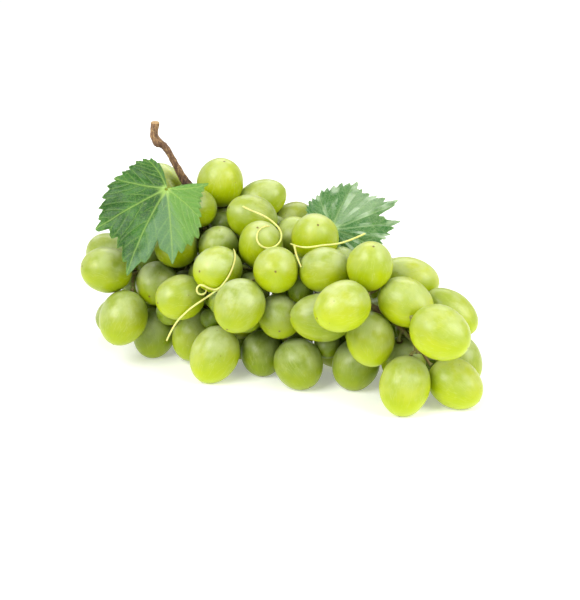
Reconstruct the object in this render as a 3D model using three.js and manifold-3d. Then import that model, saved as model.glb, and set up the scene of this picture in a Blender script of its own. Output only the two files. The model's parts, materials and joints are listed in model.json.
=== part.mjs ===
// A bunch of white table grapes lying on its side on a table: berries on a branched stem with a woody stalk,
// two vine leaves tucked among the berries and three tendrils lying over them.
// Millimetres, +Z up. The origin is on the table, under the middle of the bunch.
// +X runs from the stalk end to the tip, and the side that most berries face is -Y.
import * as THREE from "three";
import { mergeVertices } from "three/addons/utils/BufferGeometryUtils.js";
import Module from "manifold-3d";

const wasm = await Module();
wasm.setup();

// Driving dimensions.
const GAP = 0.35; // clear space left between two pieces that touch
const PRESS = 0.6; // how far a berry is flattened where it rests on the table
const SETTLE_PASSES = 160;
const TURN_STEPS = 5; // passes that look for the way two berries are furthest apart
const TURN_RATE = 0.6; // how far each of them turns that way
const BERRY_SIDES = 12;
const BERRY_RINGS = 7;
const EGG = 0.05; // how much broader a berry is towards its stem end
const PEDICEL = { radius: 0.65, flare: 1.35, widening: 0.04, lead: 1.4, inset: 0.05, sides: 5, links: 5 };
const PEDICEL_TIP_LINKS = 3; // the first points of a pedicel, where no other pedicel joins it
const BRANCH_SIDES = 7;
const BRANCH_LINK = 3.4;
const BARE_STALK_POINTS = 12; // points of the stalk above the place where the first pedicel joins
const STEM_ROOM = 2.2; // radius kept free of berries along the stalk and rachis
const STEM_ROOM_POINTS = 24;
const ROUTE_PASSES = 80;
const ROUTE_SLACK = { pedicel: 0.3, tendril: 0.05 }; // how much a thread pulls itself straight in one pass
const LEAF_THICKNESS = 0.5;
const LEAF_TEETH = 27;
const LEAF_RINGS = 4;
const LEAF_HUB = 0.03; // share of a leaf's reach taken up by the end of its petiole
const TOOTH = 0.1; // depth of the teeth of a leaf, as a share of the reach there
const LEAF_BEND = { pleatReach: 30, droopReach: 40, pleatWaves: 9 }; // reaches where the bends are full
const PETIOLE = { radii: [1, 1.4, 0.9], sides: 8 };
const TENDRIL = { radius: 0.55, tip: 0.3, sides: 5, linksPerPoint: 3, taperLinks: 6, leastTaper: 0.2 };
const TABLE = { side: 60, depth: 20 }; // the block of table that a resting berry is cut off by
const SLIVER = 0.03; // unions are tidied of details smaller than this

const COLOURS = {
  berry: { color: 0xb4cc3a, roughness: 0.3, metalness: 0 },
  stem: { color: 0x7a5a3c, roughness: 0.8, metalness: 0 },
  leaf: { color: 0x4f8a45, roughness: 0.5, metalness: 0 },
  tendril: { color: 0xd6dc7c, roughness: 0.5, metalness: 0 },
};

// Berries: centre, length, width, and the way the free end points.
const BERRIES = {
  left_low_1: [[-82, 30, 10], 22, 20, [-9, 1, -2]],
  left_low_2: [[-60, 5, 11], 23, 20, [-2, -4, -9]],
  left_mid_1: [[-74, -2, 24], 25, 21.5, [-3, -5, -8]],
  left_mid_2: [[-62, 8, 35], 21, 19.5, [-2, -9, -2]],
  left_high_1: [[-83, 4, 42], 23, 21, [-8, -4, 3]],
  left_high_2: [[-84, 26, 42], 23, 21, [-8, 2, 4]],
  front_low_1: [[-45, -2, 13], 25, 21, [-4, -4, -8]],
  front_low_2: [[-36, -15, 13], 26, 21.5, [-4, -4, -8]],
  front_low_3: [[-12, -13, 10], 20.5, 19.5, [0, -6, -8]],
  front_low_4: [[3, -26, 12], 23, 21.5, [4, -6, -6]],
  front_low_5: [[29, -27, 11], 23, 21, [-3, -5, -7]],
  front_mid_1: [[-48, -12, 37], 22.5, 20, [-8, -6, 0]],
  front_mid_2: [[-20, -26, 40], 24, 22, [-4, -7, -6]],
  front_mid_3: [[-6, -22, 32], 21, 19.5, [0, -9, -2]],
  front_mid_4: [[13, -32, 35], 27, 21, [-9, -2, 1]],
  front_mid_5: [[36, -41, 30], 23, 20.5, [1, -5, -8]],
  front_mid_6: [[23, -46, 48], 24.5, 21.5, [-8, -5, -2]],
  front_high_1: [[-49, 12, 56], 21, 20, [-2, -8, 5]],
  front_high_2: [[-31, -8, 49], 22.5, 21, [-6, -7, 2]],
  front_high_3: [[-5, -20, 53], 21, 20, [0, -9, 3]],
  front_high_4: [[-13, -4, 57], 24, 20, [-1, -5, 8]],
  front_high_5: [[15, -25, 54], 23, 19.5, [8, -5, 3]],
  front_high_6: [[31, -35, 55], 22, 19.5, [1, -4, 9]],
  ridge_1: [[-60, 42, 71], 22, 20, [-6, 1, 8]],
  ridge_2: [[-44, 16, 66], 20, 18.5, [-5, -7, 4]],
  ridge_3: [[-34, 32, 74], 23, 21.5, [2, -3, 9]],
  ridge_4: [[-33, 55, 66], 23, 21, [1, 5, 8]],
  ridge_5: [[-15, 34, 65], 24, 18.5, [8, 0, 4]],
  ridge_6: [[-17, 14, 60], 24, 20.5, [-8, -3, 5]],
  ridge_7: [[1, 16, 55], 22, 20, [0, 2, 9]],
  ridge_8: [[1, 38, 53], 23, 20, [6, 3, 7]],
  ridge_9: [[11, -5, 62], 23, 21, [1, -7, 7]],
  ridge_10: [[44, 2, 38], 22, 20, [3, 6, 7]],
  ridge_11: [[53, -19, 45], 27, 20, [9, -1, -1]],
  inner_1: [[-33, 16, 52], 20, 18, [-2, -8, 2]],
  inner_2: [[-30, 38, 54], 21, 19, [2, -8, 2]],
  inner_3: [[-23, -1, 21], 21, 19, [-2, -8, -2]],
  tip_1: [[50, -39, 43], 25, 21, [7, -6, -2]],
  tip_2: [[66, -29, 38], 26, 18, [8, -2, -5]],
  tip_3: [[60, -54, 40], 26, 22.5, [8, -5, -3]],
  tip_4: [[49, -52, 12], 25.5, 22, [-2, -5, -8]],
  tip_5: [[71, -46, 11], 24.5, 21, [7, -4, -4]],
  tip_6: [[75, -24, 12], 24, 20, [4, -2, -8]],
  tip_7: [[50, -30, 13], 22, 20, [2, 2, -9]],
  tip_8: [[58, -9, 21], 22, 20, [6, 7, -1]],
  back_low_1: [[21, -5, 12], 23, 20, [2, 7, -7]],
  back_low_2: [[-6, 14, 11], 22, 20, [2, 7, -7]],
  back_low_3: [[-30, 28, 11], 23, 21, [2, 7, -7]],
  back_low_4: [[-58, 42, 11], 23, 20, [-4, 6, -7]],
  back_mid_1: [[18, 18, 32], 24, 21, [5, 8, 1]],
  back_mid_2: [[-10, 40, 34], 23, 20, [4, 8, 1]],
  back_mid_3: [[-38, 52, 36], 24, 21, [0, 9, 1]],
  back_mid_4: [[-58, 33, 36], 23, 20, [-6, 7, 1]],
  back_high_1: [[-56, 58, 56], 23, 20, [-3, 7, 5]],
};
const RESTING = [
  "left_low_1", "left_low_2", "front_low_2", "front_low_3", "front_low_4", "front_low_5", "tip_4", "tip_5",
  "tip_6", "back_low_1", "back_low_2", "back_low_3", "back_low_4",
];

// Stalk and rachis: points down the middle, each with the radius there. The bend is the old node of the cane.
const STALK = [
  [-61.5, 34, 104, 2], [-62.2, 34, 99.5, 1.9], [-62, 34, 95.3, 2.4], [-58, 34, 92.8, 1.8],
  [-53.6, 33, 85.5, 1.6], [-49.8, 33, 78, 2], [-46, 32, 72, 2.6], [-42, 29, 62, 2.2], [-34, 21, 48, 2],
];
const RACHIS = [
  [-34, 21, 48, 2], [-20, 10, 39, 1.9], [-3, 1, 36, 1.8], [14, -8, 38, 1.7], [28, -20, 39, 1.5],
  [40, -27, 35, 1.4], [50, -33, 28, 1.2], [57, -40, 22, 1],
];

// Leaves: where the petiole joins, the way the upper side faces, the turn of the midrib from straight down,
// then the outline as [degrees from the midrib, reach], and how the blade is bent.
const LEAVES = {
  leaf_front: {
    joint: [-55, 11, 79.5],
    facing: [-0.12, -0.72, 0.68],
    turn: -24,
    outline: [
      [-129, 8], [-124, 19], [-114, 16.5], [-98, 16], [-82, 18], [-70, 21], [-58, 26], [-48, 28], [-35, 31],
      [-28, 34.5], [-20, 29], [-14, 26.5], [-11, 33], [-6, 38], [0, 45], [6, 39], [13, 35.5], [22, 33.5],
      [32, 34], [38, 38.5], [44, 34], [55, 32.5], [68, 29.5], [80, 26.5], [92, 24], [102, 22.5], [116, 20.5],
      [129, 18.5], [139, 14], [146, 8],
    ],
    foldBack: 0.22,
    droop: 4,
    pleats: 0.7,
    stub: [-56, 18, 74],
  },
  leaf_back: {
    joint: [19, 14, 59],
    facing: [0.05, -0.62, 0.78],
    turn: 118,
    outline: [
      [-134, 8], [-122, 13], [-110, 16], [-96, 19.5], [-82, 21], [-72, 23.5], [-62, 26.5], [-54, 28],
      [-44, 29.5], [-39, 32.5], [-32, 27.5], [-26, 28.5], [-15, 30], [-6, 32.5], [-0, 37], [4, 30], [8, 25],
      [12, 27], [16, 33], [24, 29], [33, 26.5], [44, 24.5], [68, 22], [90, 19], [110, 15], [128, 9],
    ],
    foldBack: 0.12,
    droop: 2,
    pleats: 1.3,
    stub: [17, 19, 53],
  },
};

// Tendrils: each is a main thread and its side threads, as points along them.
const TENDRILS = {
  tendril_curl: [[
    [-21, 9, 71], [-16, 3, 71], [-10, 0, 70], [-4, -4, 64], [-6, -12, 60], [-11, -15, 59], [-16, -13, 64],
    [-13, -9, 68], [-9, -8, 68],
  ]],
  tendril_fork: [
    [[33, -14, 67], [22, -17, 63], [10, -22, 63], [2, -19, 62], [0, -16, 63]],
    [[2, -19, 62], [3, -23, 59], [5, -27, 56]],
  ],
  tendril_three: [
    [
      [-55, -19, 18], [-51, -20, 27], [-46, -23, 34], [-37, -20, 39], [-31.5, -22, 44], [-28, -19, 51],
      [-25, -9, 58],
    ],
    [
      [-30.5, -21.8, 45.5], [-32.5, -22, 43.8], [-36.2, -21.5, 45.6], [-38.6, -21.5, 46.6],
      [-41, -22, 44.8], [-40.8, -22.5, 42.2], [-38.4, -22, 41], [-36.2, -21, 42.2], [-36.4, -21, 44],
    ],
  ],
};

const vec = (point) => new THREE.Vector3(...point.slice(0, 3));
const UP = new THREE.Vector3(0, 0, 1);

// A berry as the settling sees it: an ellipsoid that can be asked how far it reaches along any direction.
function berryBody(name, [centre, length, width, freeEnd]) {
  const axis = vec(freeEnd).normalize();
  const turn = new THREE.Quaternion().setFromUnitVectors(new THREE.Vector3(0, 1, 0), axis);
  return { name, centre: vec(centre), length, width, axis, turn, resting: RESTING.includes(name) };
}

function spreadAlong(body, n) {
  const across = (body.width / 2) ** 2;
  const along = (body.length / 2) ** 2;
  return n.clone().multiplyScalar(across).addScaledVector(body.axis, (along - across) * body.axis.dot(n));
}

const reach = (body, n) => Math.sqrt(spreadAlong(body, n).dot(n));

// The direction from a to b along which the two are furthest apart, found in a few steps.
function wayApart(a, b) {
  const apart = b.centre.clone().sub(a.centre);
  const n = apart.clone().normalize();
  for (let step = 0; step < TURN_STEPS; step++) {
    const slope = apart.clone();
    slope.addScaledVector(spreadAlong(a, n), -1 / reach(a, n));
    slope.addScaledVector(spreadAlong(b, n), -1 / reach(b, n));
    slope.addScaledVector(n, -slope.dot(n));
    n.addScaledVector(slope, TURN_RATE / apart.length()).normalize();
  }
  return { n, room: apart.dot(n) - reach(a, n) - reach(b, n) };
}

// Distance of a point from a berry's skin and the way straight out from there.
function fromSkin(body, point) {
  const offset = point.clone().sub(body.centre);
  const across = (body.width / 2) ** -2;
  const along = (body.length / 2) ** -2;
  const out = offset.clone().multiplyScalar(across);
  out.addScaledVector(body.axis, (along - across) * body.axis.dot(offset));
  const level = Math.sqrt(Math.max(out.dot(offset), 1e-6));
  return { room: ((level - 1) * level) / out.length(), out: out.normalize() };
}

// Berries that would share space push each other apart, stay clear of the fixed points, and none goes
// below the table.
function settle(bodies, fixed) {
  for (let pass = 0; pass < SETTLE_PASSES; pass++) {
    for (const [i, a] of bodies.entries()) {
      for (const b of bodies.slice(i + 1)) {
        if (a.centre.distanceTo(b.centre) > (a.length + b.length) / 2 + GAP) continue;
        const { n, room } = wayApart(a, b);
        if (room >= GAP) continue;
        a.centre.addScaledVector(n, (room - GAP) / 2);
        b.centre.addScaledVector(n, (GAP - room) / 2);
      }
      for (const { point, radius } of fixed) {
        if (a.centre.distanceTo(point) > a.length) continue;
        const { room, out } = fromSkin(a, point);
        if (room < radius + GAP) a.centre.addScaledVector(out, room - radius - GAP);
      }
      const height = reach(a, UP);
      if (a.resting) a.centre.z = height - PRESS;
      else a.centre.z = Math.max(a.centre.z, height + GAP);
    }
  }
}

// A thread of evenly spaced points that keeps its two ends and gives way to the berries.
function route(points, links, radius, bodies, freeEnds = false) {
  const path = new THREE.CatmullRomCurve3(points).getSpacedPoints(links);
  const last = path.length - 1;
  const slack = freeEnds ? ROUTE_SLACK.tendril : ROUTE_SLACK.pedicel;
  for (let pass = 0; pass < ROUTE_PASSES; pass++) {
    for (const [i, point] of path.entries()) {
      const isEnd = i === 0 || i === last;
      if (isEnd && !freeEnds) continue;
      if (!isEnd) {
        const middle = path[i - 1].clone().add(path[i + 1]).multiplyScalar(0.5);
        point.lerp(middle, slack);
      }
      for (const body of bodies) {
        const { room, out } = fromSkin(body, point);
        if (room < radius + GAP) point.addScaledVector(out, radius + GAP - room);
      }
      point.z = Math.max(point.z, radius + GAP);
    }
  }
  return path;
}

// A closed round rod along the points, with its own radius at each of them: a cylinder bent to the line.
function rod(points, radii, sides) {
  const links = points.length - 1;
  const frames = new THREE.CatmullRomCurve3(points).computeFrenetFrames(links);
  const geometry = new THREE.CylinderGeometry(1, 1, 1, sides, links);
  const place = geometry.attributes.position;
  for (let i = 0; i < place.count; i++) {
    const at = Math.round((0.5 - place.getY(i)) * links);
    const corner = points[at].clone().addScaledVector(frames.normals[at], radii[at] * place.getX(i));
    corner.addScaledVector(frames.binormals[at], radii[at] * place.getZ(i));
    place.setXYZ(i, corner.x, corner.y, corner.z);
  }
  return geometry;
}

function toSolid(geometry) {
  const plain = geometry.clone();
  plain.deleteAttribute("normal");
  plain.deleteAttribute("uv");
  const merged = mergeVertices(plain, 1e-4);
  const vertProperties = new Float32Array(merged.attributes.position.array);
  const triVerts = new Uint32Array(merged.index.array);
  return new wasm.Manifold(new wasm.Mesh({ numProp: 3, vertProperties, triVerts }));
}

// Slivers along the seams of a union are closed up.
const tidied = (solid) => solid.simplify(SLIVER);

function toGeometry(solid) {
  const mesh = solid.getMesh();
  const geometry = new THREE.BufferGeometry();
  geometry.setAttribute("position", new THREE.BufferAttribute(new Float32Array(mesh.vertProperties), 3));
  geometry.setIndex(Array.from(mesh.triVerts));
  return geometry;
}

// A berry turned from its profile, stem end first, and set in its place. "Over" makes it larger all round.
function berryGeometry({ length, width, turn, centre }, over = 0) {
  const profile = [];
  for (let ring = 0; ring <= BERRY_RINGS; ring++) {
    const angle = (Math.PI * ring) / BERRY_RINGS;
    const radius = (width / 2 + over) * Math.sin(angle) * (1 + EGG * Math.cos(angle));
    profile.push(new THREE.Vector2(ring % BERRY_RINGS ? radius : 0, -(length / 2 + over) * Math.cos(angle)));
  }
  const geometry = new THREE.LatheGeometry(profile, BERRY_SIDES).applyQuaternion(turn);
  return geometry.translate(...centre.toArray());
}

// A resting berry is let down until it presses on the table, and loses what would be below it.
function restingBerry(body) {
  const geometry = berryGeometry(body);
  geometry.computeBoundingBox();
  geometry.translate(0, 0, -PRESS - geometry.boundingBox.min.z);
  const table = new THREE.BoxGeometry(TABLE.side, TABLE.side, TABLE.depth);
  table.translate(body.centre.x, body.centre.y, -TABLE.depth / 2);
  return toGeometry(toSolid(geometry).subtract(toSolid(table)));
}

// How far the leaf reaches at an angle from its midrib, without the teeth.
function leafReach(outline, degrees) {
  const next = outline.findIndex(([angle]) => angle >= degrees);
  if (next <= 0) return outline[next === 0 ? 0 : outline.length - 1][1];
  const [[fromAngle, from], [toAngle, to]] = [outline[next - 1], outline[next]];
  return THREE.MathUtils.mapLinear(degrees, fromAngle, toAngle, from, to);
}

// The directions of a leaf: the way its upper side faces, along its midrib, and to the midrib's left.
function leafAxes(leaf) {
  const facing = vec(leaf.facing).normalize();
  const across = new THREE.Vector3(1, 0, 0).addScaledVector(facing, -facing.x).normalize();
  const down = new THREE.Vector3().crossVectors(across, facing);
  const turn = THREE.MathUtils.degToRad(leaf.turn);
  const midrib = across.clone().multiplyScalar(Math.sin(turn)).addScaledVector(down, Math.cos(turn));
  return { facing, midrib, left: new THREE.Vector3().crossVectors(midrib, facing) };
}

// A point of the leaf's middle surface. Columns run round the leaf and rings run out from the petiole; every
// second column ends at the foot of a tooth.
function leafPoint(leaf, { facing, midrib, left }, column, ring) {
  const first = leaf.outline[0][0];
  const last = leaf.outline[leaf.outline.length - 1][0];
  const degrees = THREE.MathUtils.mapLinear(column, 0, LEAF_TEETH * 2, first, last);
  const share = Math.max(ring / LEAF_RINGS, LEAF_HUB);
  const notch = column % 2 ? 0 : TOOTH * share ** 2;
  const far = leafReach(leaf.outline, degrees) * share * (1 - notch);
  const angle = THREE.MathUtils.degToRad(degrees);
  const side = far * Math.sin(angle);
  let lift = leaf.pleats * (far / LEAF_BEND.pleatReach) * Math.cos(angle * LEAF_BEND.pleatWaves);
  lift -= leaf.droop * (far / LEAF_BEND.droopReach) ** 2;
  if (side < 0) lift += leaf.foldBack * side;
  const point = vec(leaf.joint).addScaledVector(midrib, far * Math.cos(angle));
  return point.addScaledVector(left, side).addScaledVector(facing, lift);
}

// A leaf is a thin slab spread out like a fan, with a stub of petiole behind.
function leafGeometry(leaf) {
  const axes = leafAxes(leaf);
  const blade = new THREE.BoxGeometry(1, 1, LEAF_THICKNESS, LEAF_TEETH * 2, LEAF_RINGS);
  const place = blade.attributes.position;
  for (let i = 0; i < place.count; i++) {
    const column = Math.round((place.getX(i) + 0.5) * LEAF_TEETH * 2);
    const ring = Math.round((place.getY(i) + 0.5) * LEAF_RINGS);
    const point = leafPoint(leaf, axes, column, ring).addScaledVector(axes.facing, place.getZ(i));
    place.setXYZ(i, point.x, point.y, point.z);
  }
  const top = vec(leaf.joint).addScaledVector(axes.facing, LEAF_THICKNESS);
  const petiole = rod([top, vec(leaf.joint), vec(leaf.stub)], PETIOLE.radii, PETIOLE.sides);
  return toGeometry(toSolid(blade).add(toSolid(petiole)));
}

const nearestOf = (points, to) =>
  points.reduce((best, other) => (other.distanceTo(to) < best.distanceTo(to) ? other : best));

// The stem: stalk and rachis first, then a pedicel from each berry to the nearest of what is there already.
function stemGeometry(bodies) {
  const parts = [];
  const tree = [];
  for (const line of [STALK, RACHIS]) {
    const radiusAt = new THREE.CatmullRomCurve3(line.map((row) => new THREE.Vector3(row[3], 0, 0)));
    const curve = new THREE.CatmullRomCurve3(line.map(vec));
    const links = Math.round(curve.getLength() / BRANCH_LINK);
    const points = curve.getSpacedPoints(links);
    const radii = points.map((_, i) => radiusAt.getPoint(curve.getUtoTmapping(i / links)).x);
    parts.push(toSolid(rod(points, radii, BRANCH_SIDES)));
    tree.push(...points);
  }
  tree.splice(0, BARE_STALK_POINTS);
  const stemEnd = (body) =>
    body.centre.clone().addScaledVector(body.axis, -body.length / 2 - GAP - PEDICEL.inset);
  const wayToTree = (body) => stemEnd(body).distanceTo(nearestOf(tree, stemEnd(body)));
  const toDo = [...bodies];
  while (toDo.length) {
    toDo.sort((a, b) => wayToTree(a) - wayToTree(b));
    const body = toDo.shift();
    const start = stemEnd(body);
    const lead = start.clone().addScaledVector(body.axis, -PEDICEL.lead);
    const path = [start, ...route([lead, nearestOf(tree, lead)], PEDICEL.links, PEDICEL.radius, bodies)];
    const radii = path.map((_, i) => (i === 0 ? PEDICEL.flare : PEDICEL.radius + PEDICEL.widening * i));
    parts.push(toSolid(rod(path, radii, PEDICEL.sides)));
    tree.push(...path.slice(PEDICEL_TIP_LINKS));
  }
  const room = bodies.map((body) => toSolid(berryGeometry(body, GAP)));
  const grown = wasm.Manifold.union(parts).subtract(wasm.Manifold.union(room));
  const pieces = grown.decompose().sort((a, b) => b.volume() - a.volume());
  return toGeometry(tidied(pieces[0]));
}

function tendrilGeometry(threads, bodies) {
  let main;
  const rods = threads.map((points) => {
    const path = route(points.map(vec), points.length * TENDRIL.linksPerPoint, TENDRIL.radius, bodies, true);
    if (main) path.unshift(nearestOf(main, path[0]));
    else main = path;
    const links = path.length - 1;
    const taper = (i) => Math.min(1, (links - i) / TENDRIL.taperLinks + TENDRIL.leastTaper);
    const radii = path.map((_, i) => TENDRIL.tip + (TENDRIL.radius - TENDRIL.tip) * taper(i));
    return toSolid(rod(path, radii, TENDRIL.sides));
  });
  return toGeometry(tidied(wasm.Manifold.union(rods)));
}

const bodies = Object.entries(BERRIES).map(([name, row]) => berryBody(name, row));
const fixed = [];
for (const line of [STALK, RACHIS]) {
  const points = new THREE.CatmullRomCurve3(line.map(vec)).getSpacedPoints(STEM_ROOM_POINTS);
  fixed.push(...points.map((point) => ({ point, radius: STEM_ROOM })));
}
for (const leaf of Object.values(LEAVES)) {
  const axes = leafAxes(leaf);
  for (let column = 0; column <= LEAF_TEETH * 2; column++) {
    for (let ring = 1; ring <= LEAF_RINGS; ring++) {
      fixed.push({ point: leafPoint(leaf, axes, column, ring), radius: LEAF_THICKNESS });
    }
  }
  fixed.push({ point: vec(leaf.joint), radius: PETIOLE.radii[1] });
  fixed.push({ point: vec(leaf.stub), radius: PETIOLE.radii[0] });
}
settle(bodies, fixed);

const bunch = new THREE.Group();
function addPiece(name, geometry, colour) {
  const mesh = new THREE.Mesh(geometry, new THREE.MeshStandardMaterial(colour));
  mesh.name = name;
  bunch.add(mesh);
}
for (const body of bodies) {
  const geometry = body.resting ? restingBerry(body) : berryGeometry(body);
  addPiece("berry_" + body.name, geometry, COLOURS.berry);
}
addPiece("stem", stemGeometry(bodies), COLOURS.stem);
for (const [name, leaf] of Object.entries(LEAVES)) addPiece(name, leafGeometry(leaf), COLOURS.leaf);
for (const [name, threads] of Object.entries(TENDRILS)) {
  addPiece(name, tendrilGeometry(threads, bodies), COLOURS.tendril);
}

// The origin goes under the middle of the whole bunch.
const box = new THREE.Box3().setFromObject(bunch);
const middle = box.getCenter(new THREE.Vector3());
for (const mesh of bunch.children) mesh.geometry.translate(-middle.x, -middle.y, 0);

export default bunch;
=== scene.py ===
import json
import math
import random

import bmesh
import bpy
import numpy as np
from mathutils import Matrix, Vector, noise
from mathutils.kdtree import KDTree

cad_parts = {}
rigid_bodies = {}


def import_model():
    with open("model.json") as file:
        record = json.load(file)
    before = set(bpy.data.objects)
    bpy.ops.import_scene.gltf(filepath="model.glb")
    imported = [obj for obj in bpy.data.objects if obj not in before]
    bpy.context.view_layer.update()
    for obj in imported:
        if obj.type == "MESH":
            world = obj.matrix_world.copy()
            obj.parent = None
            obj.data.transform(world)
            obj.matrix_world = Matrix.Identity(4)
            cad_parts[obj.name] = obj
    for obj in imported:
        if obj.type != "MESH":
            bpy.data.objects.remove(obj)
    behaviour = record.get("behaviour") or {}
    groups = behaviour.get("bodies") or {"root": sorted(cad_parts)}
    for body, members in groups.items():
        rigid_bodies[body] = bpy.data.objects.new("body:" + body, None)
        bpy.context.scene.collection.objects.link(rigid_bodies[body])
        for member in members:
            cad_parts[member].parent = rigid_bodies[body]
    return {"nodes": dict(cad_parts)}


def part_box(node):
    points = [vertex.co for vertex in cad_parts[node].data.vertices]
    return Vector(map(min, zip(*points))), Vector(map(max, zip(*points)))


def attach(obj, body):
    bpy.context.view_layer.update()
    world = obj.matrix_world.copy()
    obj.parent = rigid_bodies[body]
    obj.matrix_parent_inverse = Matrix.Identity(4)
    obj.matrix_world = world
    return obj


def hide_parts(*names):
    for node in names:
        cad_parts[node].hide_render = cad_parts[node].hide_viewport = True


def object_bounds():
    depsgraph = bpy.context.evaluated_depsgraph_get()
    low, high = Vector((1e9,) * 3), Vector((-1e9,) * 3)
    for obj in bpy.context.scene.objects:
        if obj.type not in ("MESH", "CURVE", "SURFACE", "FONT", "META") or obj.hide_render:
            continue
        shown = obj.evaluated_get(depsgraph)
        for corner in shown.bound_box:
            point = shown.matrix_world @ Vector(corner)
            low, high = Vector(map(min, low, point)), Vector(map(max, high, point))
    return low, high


for thing in list(bpy.data.objects):
    bpy.data.objects.remove(thing)
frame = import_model()
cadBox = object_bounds()
mm = 0.001

# Camera, lights and floor

studio = {
    "target": (0.005, 0.0005, 0.030),
    "distance": 0.65,
    "elevation": 22,
    "lens": 88.8,
    "sensor": 36,
    "worldLight": 0.42,
    "floorColor": (0.86, 0.86, 0.86, 1),
    "floorGlow": 0.32,
    "floorRoughness": 0.7,
    "floorShine": 0.2,
    "floorReach": 8.0,
}
softboxes = {
    # name: place, width, height, watts, color
    "softboxLeft": ((-0.60, -0.50, 0.72), 0.62, 0.62, 9.6, (1.0, 0.99, 0.97)),
    "softboxRight": ((0.72, -0.40, 0.60), 0.55, 0.70, 7.4, (1.0, 0.99, 0.97)),
    "softboxBack": ((0.05, 0.80, 0.80), 0.90, 0.45, 4.5, (1.0, 1.0, 0.98)),
}


def aimAt(thing, target):
    way = Vector(target) - thing.location
    thing.rotation_euler = way.to_track_quat("-Z", "Y").to_euler()


def buildStudio():
    scene = bpy.context.scene
    rise = math.radians(studio["elevation"])
    camera = bpy.data.objects.new("camera", bpy.data.cameras.new("camera"))
    scene.collection.objects.link(camera)
    back = Vector((0, -math.cos(rise), math.sin(rise))) * studio["distance"]
    camera.location = Vector(studio["target"]) + back
    aimAt(camera, studio["target"])
    camera.data.sensor_fit = "HORIZONTAL"
    camera.data.sensor_width = studio["sensor"]
    camera.data.lens = studio["lens"]
    scene.camera = camera

    for name, (place, width, height, watts, color) in softboxes.items():
        lamp = bpy.data.lights.new(name, "AREA")
        lamp.shape = "RECTANGLE"
        lamp.size = width
        lamp.size_y = height
        lamp.energy = watts
        lamp.color = color
        lampObject = bpy.data.objects.new(name, lamp)
        scene.collection.objects.link(lampObject)
        lampObject.location = place
        aimAt(lampObject, studio["target"])

    world = bpy.data.worlds.new("paleRoom")
    world.use_nodes = True
    world.node_tree.nodes["Background"].inputs["Color"].default_value = (1, 1, 1, 1)
    world.node_tree.nodes["Background"].inputs["Strength"].default_value = studio["worldLight"]
    scene.world = world
    scene.view_settings.view_transform = "Standard"

    bm = bmesh.new()
    bmesh.ops.create_grid(bm, x_segments=2, y_segments=2, size=studio["floorReach"])
    floor = meshObject("floor", bm)
    material, shader = newMaterial("paleFloor")
    shader.inputs["Base Color"].default_value = studio["floorColor"]
    shader.inputs["Roughness"].default_value = studio["floorRoughness"]
    shader.inputs["Specular IOR Level"].default_value = studio["floorShine"]
    shader.inputs["Emission Color"].default_value = studio["floorColor"]
    shader.inputs["Emission Strength"].default_value = studio["floorGlow"]
    floor.data.materials.append(material)


# Small helpers

def meshObject(name, bm):
    mesh = bpy.data.meshes.new(name)
    bm.to_mesh(mesh)
    bm.free()
    thing = bpy.data.objects.new(name, mesh)
    bpy.context.scene.collection.objects.link(thing)
    return thing


def mergedCopy(node):
    bm = bmesh.new()
    bm.from_mesh(frame["nodes"][node].data)
    bmesh.ops.remove_doubles(bm, verts=bm.verts, dist=1e-6)
    return bm


def shadeSmooth(thing):
    thing.data.polygons.foreach_set("use_smooth", [True] * len(thing.data.polygons))


def setPointValues(thing, name, values):
    attribute = thing.data.attributes.new(name, "FLOAT", "POINT")
    attribute.data.foreach_set("value", np.asarray(values, np.float32))


def setPointVectors(thing, name, vectors):
    attribute = thing.data.attributes.new(name, "FLOAT_VECTOR", "POINT")
    attribute.data.foreach_set("vector", np.asarray(vectors, np.float32).ravel())


def setIn(thing, material, slot, *nodes):
    thing.data.materials.append(material)
    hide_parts(*nodes)
    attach(thing, "root")


# Shader helpers and the effects that several materials share

def newMaterial(name):
    material = bpy.data.materials.new(name)
    material.use_nodes = True
    return material, material.node_tree.nodes["Principled BSDF"]


def wire(tree, source, socket):
    if isinstance(source, bpy.types.NodeSocket):
        tree.links.new(source, socket)
    else:
        socket.default_value = source


def maths(tree, operation, a, b=0.0, clamp=False):
    node = tree.nodes.new("ShaderNodeMath")
    node.operation = operation
    node.use_clamp = clamp
    wire(tree, a, node.inputs[0])
    wire(tree, b, node.inputs[1])
    return node.outputs[0]


def blendColor(tree, factor, a, b, blend="MIX"):
    node = tree.nodes.new("ShaderNodeMix")
    node.data_type = "RGBA"
    node.blend_type = blend
    wire(tree, factor, node.inputs["Factor"])
    wire(tree, a, node.inputs["A"])
    wire(tree, b, node.inputs["B"])
    return node.outputs["Result"]


def ramp(tree, value, low, high, toLow=0.0, toHigh=1.0, smooth=True):
    node = tree.nodes.new("ShaderNodeMapRange")
    node.interpolation_type = "SMOOTHSTEP" if smooth else "LINEAR"
    wire(tree, value, node.inputs["Value"])
    for key, number in (("From Min", low), ("From Max", high), ("To Min", toLow), ("To Max", toHigh)):
        wire(tree, number, node.inputs[key])
    return node.outputs["Result"]


def attribute(tree, name, socket="Fac"):
    node = tree.nodes.new("ShaderNodeAttribute")
    node.attribute_name = name
    return node.outputs[socket]


def noiseValue(tree, place, scale, detail=3.0, rough=0.5):
    node = tree.nodes.new("ShaderNodeTexNoise")
    wire(tree, place, node.inputs["Vector"])
    wire(tree, scale, node.inputs["Scale"])
    node.inputs["Detail"].default_value = detail
    node.inputs["Roughness"].default_value = rough
    return node.outputs["Fac"]


def voronoi(tree, place, scale, feature="F1"):
    node = tree.nodes.new("ShaderNodeTexVoronoi")
    node.feature = feature
    wire(tree, place, node.inputs["Vector"])
    wire(tree, scale, node.inputs["Scale"])
    return node


def bump(tree, height, strength, distance):
    node = tree.nodes.new("ShaderNodeBump")
    node.inputs["Strength"].default_value = strength
    node.inputs["Distance"].default_value = distance
    tree.links.new(height, node.inputs["Height"])
    return node.outputs["Normal"]


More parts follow.
